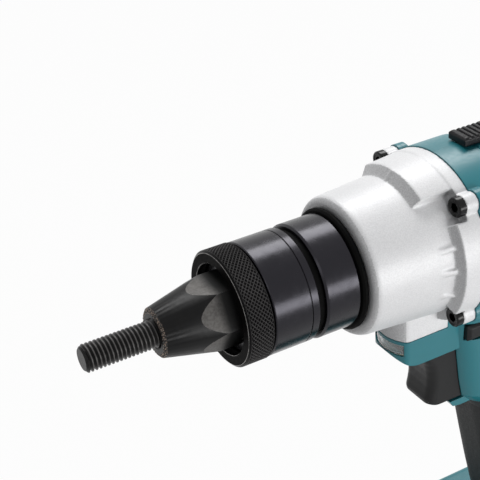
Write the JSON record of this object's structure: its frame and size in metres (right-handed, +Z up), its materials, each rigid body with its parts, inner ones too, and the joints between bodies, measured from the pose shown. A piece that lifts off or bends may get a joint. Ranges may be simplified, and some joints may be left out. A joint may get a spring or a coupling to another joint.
{
  "type": "rivet nut tool",
  "caption": "Cordless rivet nut tool with a threaded mandrel in a conical anvil, knurled stroke ring, barrel, cast gear housing, trigger handle and slide-on battery.",
  "frame": {"origin": "centre of the mandrel where it leaves the anvil's flat front face", "axes": "+X along the tool axis out of the nose, +Y to the tool's left, +Z up, away from the battery"},
  "size_m": [0.2416, 0.075, 0.2693],
  "materials": {
    "mandrel_steel": "black oxide, oily satin, rolled thread",
    "anvil_steel": "black oxide with ground bare wrench flats",
    "knurled_steel": "black diamond knurl",
    "black_anodised": "turned, black anodised, satin",
    "cast_aluminium": "die cast, shot blasted",
    "seal_rubber": "matt moulded rubber",
    "screw_steel": "black oxide socket screws",
    "machined_steel": "turned and ground steel",
    "sintered_steel": "sintered steel gears",
    "lamination_steel": "stacked laminations",
    "copper_wire": "enamelled copper",
    "magnet_nickel": "nickel plated magnets",
    "shell_teal": "moulded nylon, fine spark texture",
    "grip_rubber": "soft overmould",
    "control_black": "moulded, fine texture",
    "lens_clear": "clear polycarbonate",
    "board_green": "coated circuit board",
    "fan_plastic": "moulded nylon",
    "spring_steel": "music wire",
    "contact_brass": "contact blades in a moulded base",
    "cell_wrap": "shrink wrapped cells",
    "pack_black": "moulded, fine texture"
  },
  "bodies": {
    "tool": {"front_sleeve": "black_anodised", "spacer_ring": "seal_rubber", "barrel": "black_anodised", "barrel_seal": "seal_rubber", "gear_housing": "cast_aluminium", "housing_screws": "screw_steel", "thrust_bearing": "machined_steel", "nut_bearing": "machined_steel", "ring_gear": "sintered_steel", "gearbox_case": "control_black", "motor_plate": "cast_aluminium", "front_bearing": "machined_steel", "rear_bearing": "machined_steel", "stator_core": "lamination_steel", "stator_windings": "copper_wire", "left_shell": "shell_teal", "right_shell": "shell_teal", "left_grip": "grip_rubber", "right_grip": "grip_rubber", "shell_screws": "screw_steel", "light_lens": "lens_clear", "light_board": "board_green", "trigger_spring": "spring_steel", "switch_body": "control_black", "control_board": "board_green", "terminal_block": "contact_brass"},
    "stroke_ring": {"stroke_ring": "knurled_steel"},
    "anvil_set": {"anvil": "anvil_steel", "anvil_holder": "black_anodised"},
    "pull_train": {"drawbar": "machined_steel", "pull_collar": "machined_steel", "spindle_bearing": "machined_steel"},
    "mandrel_set": {"mandrel": "mandrel_steel", "mandrel_chuck": "machined_steel", "drive_spindle": "machined_steel"},
    "nut_set": {"drive_nut": "machined_steel", "carrier_two": "sintered_steel", "planet_pins_two": "machined_steel"},
    "carrier_set": {"carrier_one": "sintered_steel", "planet_pins_one": "machined_steel"},
    "rotor": {"rotor_shaft": "machined_steel", "rotor_core": "lamination_steel", "rotor_magnets": "magnet_nickel", "sun_gear": "sintered_steel", "cooling_fan": "fan_plastic"},
    "trigger": {"trigger": "control_black"},
    "direction_lever": {"direction_lever": "control_black"},
    "mode_slider": {"mode_slider": "control_black"},
    "battery": {"battery_lower_case": "pack_black", "battery_upper_case": "pack_black", "battery_cells": "cell_wrap", "cell_holders": "pack_black", "battery_board": "board_green"},
    "battery_button": {"battery_button": "control_black"},
    "planet_one_a": {"planet_one_a": "sintered_steel"},
    "planet_one_b": {"planet_one_b": "sintered_steel"},
    "planet_one_c": {"planet_one_c": "sintered_steel"},
    "planet_two_a": {"planet_two_a": "sintered_steel"},
    "planet_two_b": {"planet_two_b": "sintered_steel"},
    "planet_two_c": {"planet_two_c": "sintered_steel"}
  },
  "joints": [
    {"name": "stroke_ring_turn", "type": "hinge", "parent": "tool", "child": "stroke_ring", "pos_m": [-0.031, 0, 0], "axis": [1, 0, 0], "range_deg": [-360, 360]},
    {"name": "anvil_slide", "type": "slide", "parent": "tool", "child": "anvil_set", "axis": [1, 0, 0], "range_m": [-0.0015, 0.0015]},
    {"name": "rotor_turn", "type": "hinge", "parent": "tool", "child": "rotor", "pos_m": [-0.18, 0, 0], "axis": [1, 0, 0], "range_deg": [0, 13500]},
    {"name": "carrier_turn", "type": "hinge", "parent": "tool", "child": "carrier_set", "pos_m": [-0.14, 0, 0], "axis": [1, 0, 0], "range_deg": [0, 2700]},
    {"name": "nut_turn", "type": "hinge", "parent": "tool", "child": "nut_set", "pos_m": [-0.11, 0, 0], "axis": [1, 0, 0], "range_deg": [0, 540]},
    {"name": "pull_slide", "type": "slide", "parent": "tool", "child": "pull_train", "axis": [-1, 0, 0], "range_m": [0, 0.0075]},
    {"name": "mandrel_spin", "type": "hinge", "parent": "pull_train", "child": "mandrel_set", "pos_m": [-0.03, 0, 0], "axis": [1, 0, 0], "continuous": true},
    {"name": "trigger_press", "type": "slide", "parent": "tool", "child": "trigger", "axis": [-1, 0, 0], "range_m": [0, 0.006], "stiffness_N_per_m": 400, "springref_m": -0.003, "deforming": ["trigger_spring"]},
    {"name": "direction_shift", "type": "slide", "parent": "tool", "child": "direction_lever", "axis": [0, 1, 0], "range_m": [-0.003, 0.003]},
    {"name": "mode_shift", "type": "slide", "parent": "tool", "child": "mode_slider", "axis": [-1, 0, 0], "range_m": [0, 0.005]},
    {"name": "battery_slide", "type": "slide", "parent": "tool", "child": "battery", "axis": [1, 0, 0], "range_m": [0, 0.1]},
    {"name": "battery_button_press", "type": "slide", "parent": "battery", "child": "battery_button", "axis": [0, 0, -1], "range_m": [0, 0.004], "stiffness_N_per_m": 300, "springref_m": -0.003},
    {"name": "planet_one_a_turn", "type": "hinge", "parent": "carrier_set", "child": "planet_one_a", "pos_m": [-0.1438, 0.012, 0], "axis": [1, 0, 0], "range_deg": [-7200, 0]},
    {"name": "planet_one_b_turn", "type": "hinge", "parent": "carrier_set", "child": "planet_one_b", "pos_m": [-0.1438, -0.006, 0.01039], "axis": [1, 0, 0], "range_deg": [-7200, 0]},
    {"name": "planet_one_c_turn", "type": "hinge", "parent": "carrier_set", "child": "planet_one_c", "pos_m": [-0.1438, -0.006, -0.01039], "axis": [1, 0, 0], "range_deg": [-7200, 0]},
    {"name": "planet_two_a_turn", "type": "hinge", "parent": "nut_set", "child": "planet_two_a", "pos_m": [-0.1332, 0.012, 0], "axis": [1, 0, 0], "range_deg": [-1440, 0]},
    {"name": "planet_two_b_turn", "type": "hinge", "parent": "nut_set", "child": "planet_two_b", "pos_m": [-0.1332, -0.006, 0.01039], "axis": [1, 0, 0], "range_deg": [-1440, 0]},
    {"name": "planet_two_c_turn", "type": "hinge", "parent": "nut_set", "child": "planet_two_c", "pos_m": [-0.1332, -0.006, -0.01039], "axis": [1, 0, 0], "range_deg": [-1440, 0]}
  ],
  "couplings": [
    {"joint": "anvil_slide", "follows": "stroke_ring_turn", "m_per_rad": -0.00023873},
    {"joint": "rotor_turn", "follows": "pull_slide", "rad_per_m": 31416},
    {"joint": "carrier_turn", "follows": "pull_slide", "rad_per_m": 6283.2},
    {"joint": "nut_turn", "follows": "pull_slide", "rad_per_m": 1256.6},
    {"joint": "planet_one_a_turn", "follows": "pull_slide", "rad_per_m": -16755},
    {"joint": "planet_one_b_turn", "follows": "pull_slide", "rad_per_m": -16755},
    {"joint": "planet_one_c_turn", "follows": "pull_slide", "rad_per_m": -16755},
    {"joint": "planet_two_a_turn", "follows": "pull_slide", "rad_per_m": -3351},
    {"joint": "planet_two_b_turn", "follows": "pull_slide", "rad_per_m": -3351},
    {"joint": "planet_two_c_turn", "follows": "pull_slide", "rad_per_m": -3351}
  ]
}
